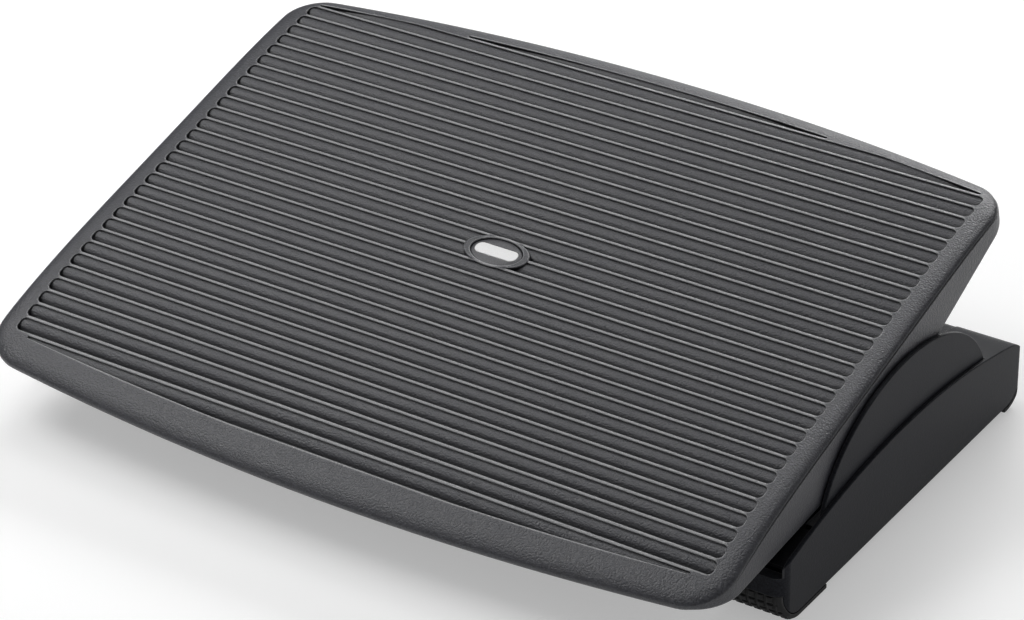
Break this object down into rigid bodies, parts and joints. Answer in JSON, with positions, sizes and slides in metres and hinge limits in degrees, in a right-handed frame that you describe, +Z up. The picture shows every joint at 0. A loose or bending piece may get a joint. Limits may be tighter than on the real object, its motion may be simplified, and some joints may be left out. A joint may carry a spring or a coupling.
{
  "type": "tilting under desk footrest",
  "caption": "Under desk footrest whose wide, crosswise ribbed deck tilts on side pivots between two low legs joined by a rear crossbar.",
  "frame": {"origin": "on the floor, under the middle of the whole part's bounding box", "axes": "+X to the user's right along the deck's width, +Y away from the user toward the raised edge, +Z up"},
  "size_m": [0.46, 0.3222, 0.1282],
  "materials": {
    "deck_plastic": "black moulded plastic with a fine grain",
    "base_plastic": "black moulded plastic, satin",
    "disc_plastic": "dark grey moulded plastic, satin",
    "label_plastic": "plain white plate, smooth",
    "foot_rubber": "black rubber, matte",
    "ring_rubber": "black rubber, matte",
    "bush_plastic": "off white bearing plastic, satin",
    "zinc_steel": "zinc plated steel"
  },
  "bodies": {
    "base": {"rear_crossbar": "base_plastic", "right_side_leg": "base_plastic", "right_pivot_tower": "base_plastic", "right_front_foot": "foot_rubber", "right_rear_foot": "foot_rubber", "right_pivot_washer": "zinc_steel", "right_pivot_screw": "zinc_steel", "right_tower_screw_front": "zinc_steel", "right_tower_screw_rear": "zinc_steel", "right_crossbar_screw_inner": "zinc_steel", "right_crossbar_screw_outer": "zinc_steel", "left_side_leg": "base_plastic", "left_pivot_tower": "base_plastic", "left_front_foot": "foot_rubber", "left_rear_foot": "foot_rubber", "left_pivot_washer": "zinc_steel", "left_pivot_screw": "zinc_steel", "left_tower_screw_front": "zinc_steel", "left_tower_screw_rear": "zinc_steel", "left_crossbar_screw_inner": "zinc_steel", "left_crossbar_screw_outer": "zinc_steel"},
    "platform": {"foot_platform": "deck_plastic", "right_deck_skirt": "deck_plastic", "left_deck_skirt": "deck_plastic", "badge_disc": "disc_plastic", "badge_label": "label_plastic", "right_pivot_bush": "bush_plastic", "right_friction_ring": "ring_rubber", "left_pivot_bush": "bush_plastic", "left_friction_ring": "ring_rubber"}
  },
  "joints": [
    {"name": "platform_tilt", "type": "hinge", "parent": "base", "child": "platform", "pos_m": [0, 0.02901, 0.0695], "axis": [1, 0, 0], "range_deg": [-15.3, 4.7]}
  ]
}
